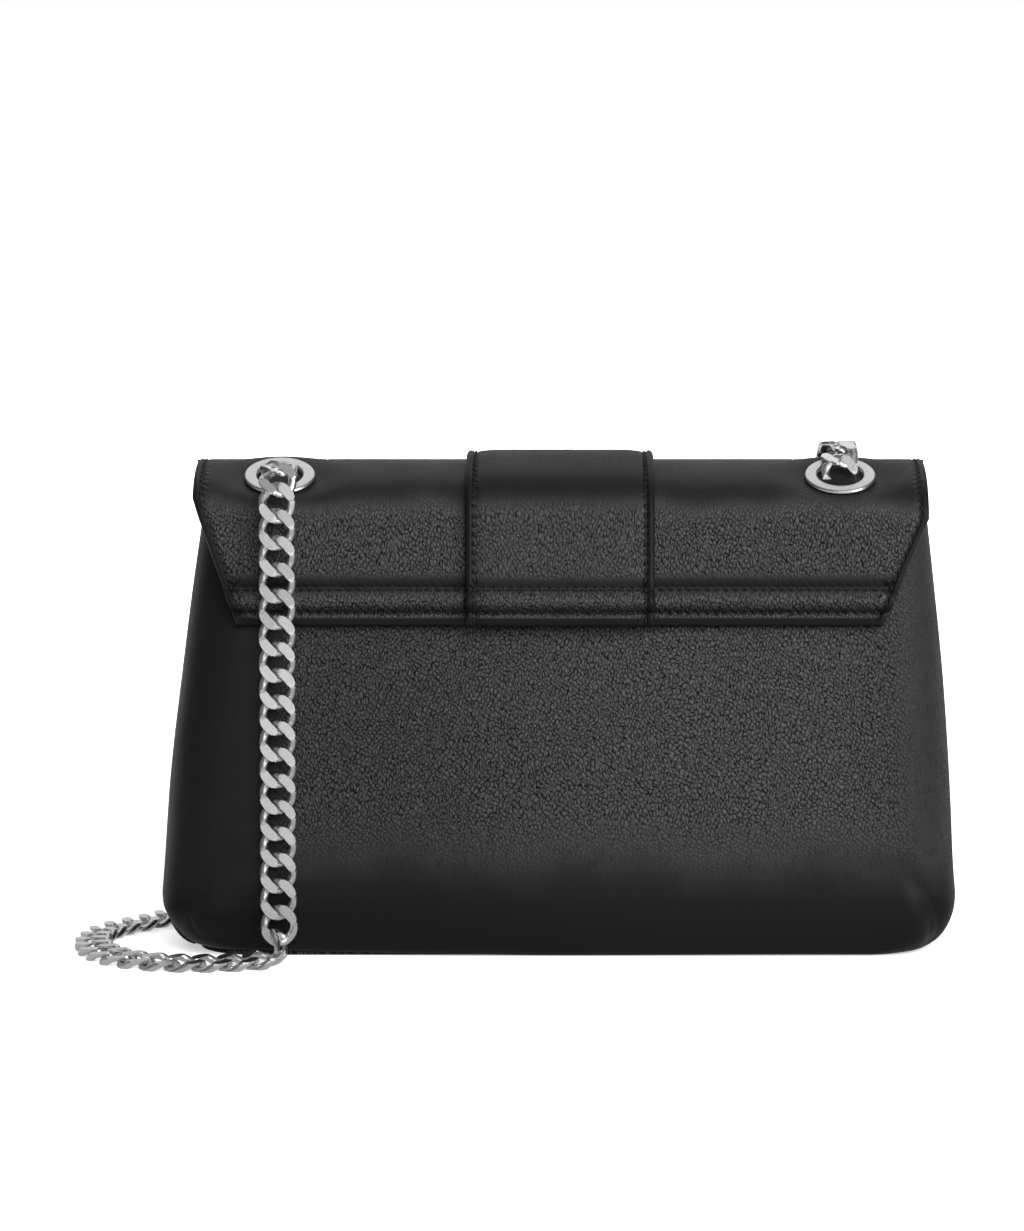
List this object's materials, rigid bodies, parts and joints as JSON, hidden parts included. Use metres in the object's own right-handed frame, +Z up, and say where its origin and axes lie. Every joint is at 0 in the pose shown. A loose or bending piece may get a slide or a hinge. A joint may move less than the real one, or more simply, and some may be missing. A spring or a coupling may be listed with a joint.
{
  "type": "leather chain bag",
  "caption": "Small soft black leather flap bag with a metal-silver chain strap through two large eyelets, standing upright and seen from its back.",
  "frame": {"origin": "middle of the sole's underside, on the floor", "axes": "+X across the bag to the right as seen from its back, +Y to the side that the flap closes on, +Z up"},
  "size_m": [0.289, 0.1417, 0.1689],
  "materials": {
    "black_leather": "pebbled, satin",
    "suede_lining": "napped",
    "fibre_board": "matt",
    "silver_metal": "polished"
  },
  "bodies": {
    "root": {"back_panel": "black_leather", "front_panel": "black_leather", "gusset_left": "black_leather", "gusset_right": "black_leather", "base_panel": "black_leather", "base_board": "fibre_board", "lining_sack": "suede_lining", "mouth_facing": "black_leather", "slip_pocket": "suede_lining", "yoke": "black_leather", "yoke_lining": "suede_lining", "roll_padding": "suede_lining", "band_back": "black_leather", "eyelet_left": "silver_metal", "eyelet_right": "silver_metal", "eyelet_washer_left": "silver_metal", "eyelet_washer_right": "silver_metal", "snap_socket": "silver_metal", "snap_socket_washer": "silver_metal", "chain_drop": "silver_metal", "chain_floor_loop": "silver_metal", "chain_front_run": "silver_metal", "chain_arch": "silver_metal", "chain_inner_run": "silver_metal"},
    "flap": {"flap_front": "black_leather", "flap_lining": "suede_lining", "flap_stiffener": "fibre_board", "band_front": "black_leather", "snap_stud": "silver_metal", "snap_stud_washer": "silver_metal"}
  },
  "joints": [
    {"name": "flap_hinge", "type": "hinge", "parent": "root", "child": "flap", "pos_m": [0, 0.00418, 0.16256], "axis": [1, 0, 0], "range_deg": [0, 150]}
  ]
}
